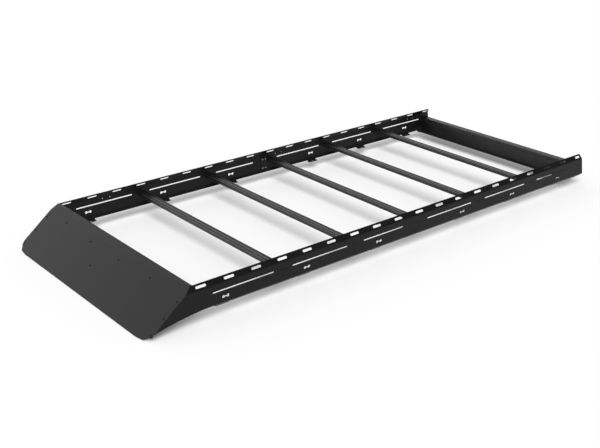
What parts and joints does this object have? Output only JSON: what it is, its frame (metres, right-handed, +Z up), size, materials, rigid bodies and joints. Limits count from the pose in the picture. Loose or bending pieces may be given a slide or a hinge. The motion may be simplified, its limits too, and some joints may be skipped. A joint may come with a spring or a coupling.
{
  "type": "roof rack",
  "caption": "Low-profile full-length vehicle roof rack: slotted folded side rails, T-slot crossbars, a sloping front fairing and a rear cross panel.",
  "frame": {"origin": "under the middle of the rack's box, level with the fairing's lowest edge", "axes": "+X along the rack towards its rear, +Y to the left-hand rail, +Z up"},
  "size_m": [3.6082, 1.5, 0.232],
  "materials": {
    "powder_coat": "satin black powder coat",
    "black_anodised": "satin black anodised extrusion"
  },
  "bodies": {
    "root": {"rail_front_left": "powder_coat", "rail_front_right": "powder_coat", "rail_rear_left": "powder_coat", "rail_rear_right": "powder_coat", "splice_left": "powder_coat", "splice_right": "powder_coat", "bar_1": "black_anodised", "bar_2": "black_anodised", "bar_3": "black_anodised", "bar_4": "black_anodised", "bar_5": "black_anodised", "bar_6": "black_anodised", "rear_panel": "powder_coat", "fairing": "powder_coat", "fairing_header": "powder_coat"}
  },
  "joints": []
}
